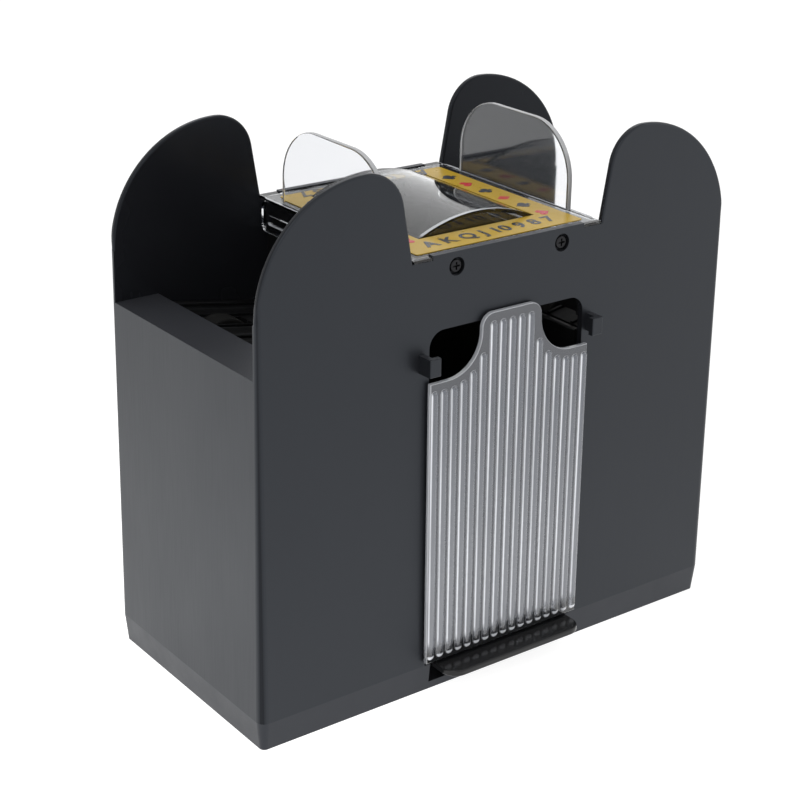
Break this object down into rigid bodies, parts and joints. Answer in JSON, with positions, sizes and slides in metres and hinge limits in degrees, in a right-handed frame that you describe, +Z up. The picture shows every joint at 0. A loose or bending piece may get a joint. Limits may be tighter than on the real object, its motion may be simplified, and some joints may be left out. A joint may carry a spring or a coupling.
{
  "type": "automatic card shuffler",
  "caption": "Battery card shuffler: two loading hoppers between rounded ears, rollers feeding a central chamber with a clear ribbed lift-up door, press bar and clear top cover.",
  "frame": {"origin": "middle of the housing's footprint, on the face it stands on", "axes": "+Z up, +X to the right along the machine's length as seen from the door side, +Y from the door to the back"},
  "size_m": [0.206, 0.109, 0.195],
  "materials": {
    "housing_plastic": "satin moulded ABS with a fine vertical grain",
    "base_plastic": "satin moulded ABS",
    "inner_plastic": "polished black ABS",
    "frame_plastic": "moulded ABS",
    "clear_plastic": "clear polystyrene",
    "label_print": "glossy printed film",
    "bar_plastic": "black moulded ABS",
    "roller_rubber": "matt rubber",
    "pad_rubber": "matt foam rubber",
    "gear_plastic": "natural acetal",
    "steel": "ground steel",
    "screw_steel": "black zinc plating",
    "bronze": "sintered bronze",
    "cell_sleeve": "printed sleeve",
    "contact_nickel": "nickel plate"
  },
  "bodies": {
    "housing": {"main_housing": "housing_plastic", "base_tray": "base_plastic", "rubber_feet": "pad_rubber", "base_screws": "screw_steel", "left_chamber_wall": "inner_plastic", "right_chamber_wall": "inner_plastic", "card_platform": "inner_plastic", "gate_frame": "inner_plastic", "separator_pads": "pad_rubber", "gate_screws": "screw_steel", "left_hopper_floor": "inner_plastic", "right_hopper_floor": "inner_plastic", "motor_screws": "steel", "battery_box": "frame_plastic", "c_cells": "cell_sleeve", "contact_springs": "contact_nickel", "contact_plates": "contact_nickel", "start_switch": "frame_plastic", "press_springs": "steel", "right_bushes": "bronze", "right_gear_pins": "steel", "right_motor_can": "steel", "right_gear_plate": "frame_plastic", "right_bearing_plate": "frame_plastic", "left_bushes": "bronze", "left_gear_pins": "steel", "left_motor_can": "steel", "left_gear_plate": "frame_plastic", "left_bearing_plate": "frame_plastic"},
    "front_door": {"front_door": "clear_plastic"},
    "press_bar": {"press_bar": "bar_plastic"},
    "top_cover": {"clear_cover": "clear_plastic", "cover_label": "label_print", "left_card_guide": "clear_plastic", "right_card_guide": "clear_plastic"},
    "battery_door": {"battery_door": "base_plastic", "door_contacts": "contact_nickel"},
    "right_feed_roller": {"right_feed_shaft": "steel", "right_feed_hubs": "frame_plastic", "right_feed_tyres": "roller_rubber", "right_feed_gear": "gear_plastic"},
    "right_pickup_roller": {"right_pickup_shaft": "steel", "right_pickup_hubs": "frame_plastic", "right_pickup_tyres": "roller_rubber", "right_pickup_gear": "gear_plastic"},
    "right_idler": {"right_idler_gear": "gear_plastic"},
    "right_compound": {"right_compound_gear": "gear_plastic"},
    "right_motor": {"right_motor_rotor": "steel"},
    "left_feed_roller": {"left_feed_shaft": "steel", "left_feed_hubs": "frame_plastic", "left_feed_tyres": "roller_rubber", "left_feed_gear": "gear_plastic"},
    "left_pickup_roller": {"left_pickup_shaft": "steel", "left_pickup_hubs": "frame_plastic", "left_pickup_tyres": "roller_rubber", "left_pickup_gear": "gear_plastic"},
    "left_idler": {"left_idler_gear": "gear_plastic"},
    "left_compound": {"left_compound_gear": "gear_plastic"},
    "left_motor": {"left_motor_rotor": "steel"}
  },
  "joints": [
    {"name": "front_door_lift", "type": "slide", "parent": "housing", "child": "front_door", "axis": [0, 0.0105, 0.9999], "range_m": [0, 0.092]},
    {"name": "press_bar_push", "type": "slide", "parent": "housing", "child": "press_bar", "axis": [0, 0, -1], "range_m": [0, 0.0025], "stiffness_N_per_m": 600, "deforming": ["press_springs"]},
    {"name": "top_cover_lift", "type": "slide", "parent": "housing", "child": "top_cover", "axis": [0, 0, 1], "range_m": [0, 0.03]},
    {"name": "battery_door_slide", "type": "slide", "parent": "housing", "child": "battery_door", "axis": [1, 0, 0], "range_m": [0, 0.006]},
    {"name": "right_feed_spin", "type": "hinge", "parent": "housing", "child": "right_feed_roller", "pos_m": [0.049, 0, 0.11498], "axis": [0, -1, 0], "continuous": true},
    {"name": "right_pickup_spin", "type": "hinge", "parent": "housing", "child": "right_pickup_roller", "pos_m": [0.075, 0, 0.11956], "axis": [0, -1, 0], "continuous": true},
    {"name": "right_idler_spin", "type": "hinge", "parent": "housing", "child": "right_idler", "pos_m": [0.062, 0, 0.11727], "axis": [0, -1, 0], "continuous": true},
    {"name": "right_compound_spin", "type": "hinge", "parent": "housing", "child": "right_compound", "pos_m": [0.0556, 0, 0.10355], "axis": [0, -1, 0], "continuous": true},
    {"name": "right_motor_spin", "type": "hinge", "parent": "housing", "child": "right_motor", "pos_m": [0.07059, 0, 0.0869], "axis": [0, -1, 0], "continuous": true},
    {"name": "left_feed_spin", "type": "hinge", "parent": "housing", "child": "left_feed_roller", "pos_m": [-0.049, 0, 0.11498], "axis": [0, 1, 0], "continuous": true},
    {"name": "left_pickup_spin", "type": "hinge", "parent": "housing", "child": "left_pickup_roller", "pos_m": [-0.075, 0, 0.11956], "axis": [0, 1, 0], "continuous": true},
    {"name": "left_idler_spin", "type": "hinge", "parent": "housing", "child": "left_idler", "pos_m": [-0.062, 0, 0.11727], "axis": [0, 1, 0], "continuous": true},
    {"name": "left_compound_spin", "type": "hinge", "parent": "housing", "child": "left_compound", "pos_m": [-0.0556, 0, 0.10355], "axis": [0, 1, 0], "continuous": true},
    {"name": "left_motor_spin", "type": "hinge", "parent": "housing", "child": "left_motor", "pos_m": [-0.07059, 0, 0.0869], "axis": [0, 1, 0], "continuous": true}
  ],
  "couplings": [
    {"joint": "right_pickup_spin", "follows": "right_feed_spin", "ratio": 1},
    {"joint": "right_idler_spin", "follows": "right_feed_spin", "ratio": -1.0625},
    {"joint": "right_compound_spin", "follows": "right_feed_spin", "ratio": -1.0625},
    {"joint": "right_motor_spin", "follows": "right_feed_spin", "ratio": 3.1875},
    {"joint": "left_pickup_spin", "follows": "left_feed_spin", "ratio": 1},
    {"joint": "left_idler_spin", "follows": "left_feed_spin", "ratio": -1.0625},
    {"joint": "left_compound_spin", "follows": "left_feed_spin", "ratio": -1.0625},
    {"joint": "left_motor_spin", "follows": "left_feed_spin", "ratio": 3.1875}
  ]
}
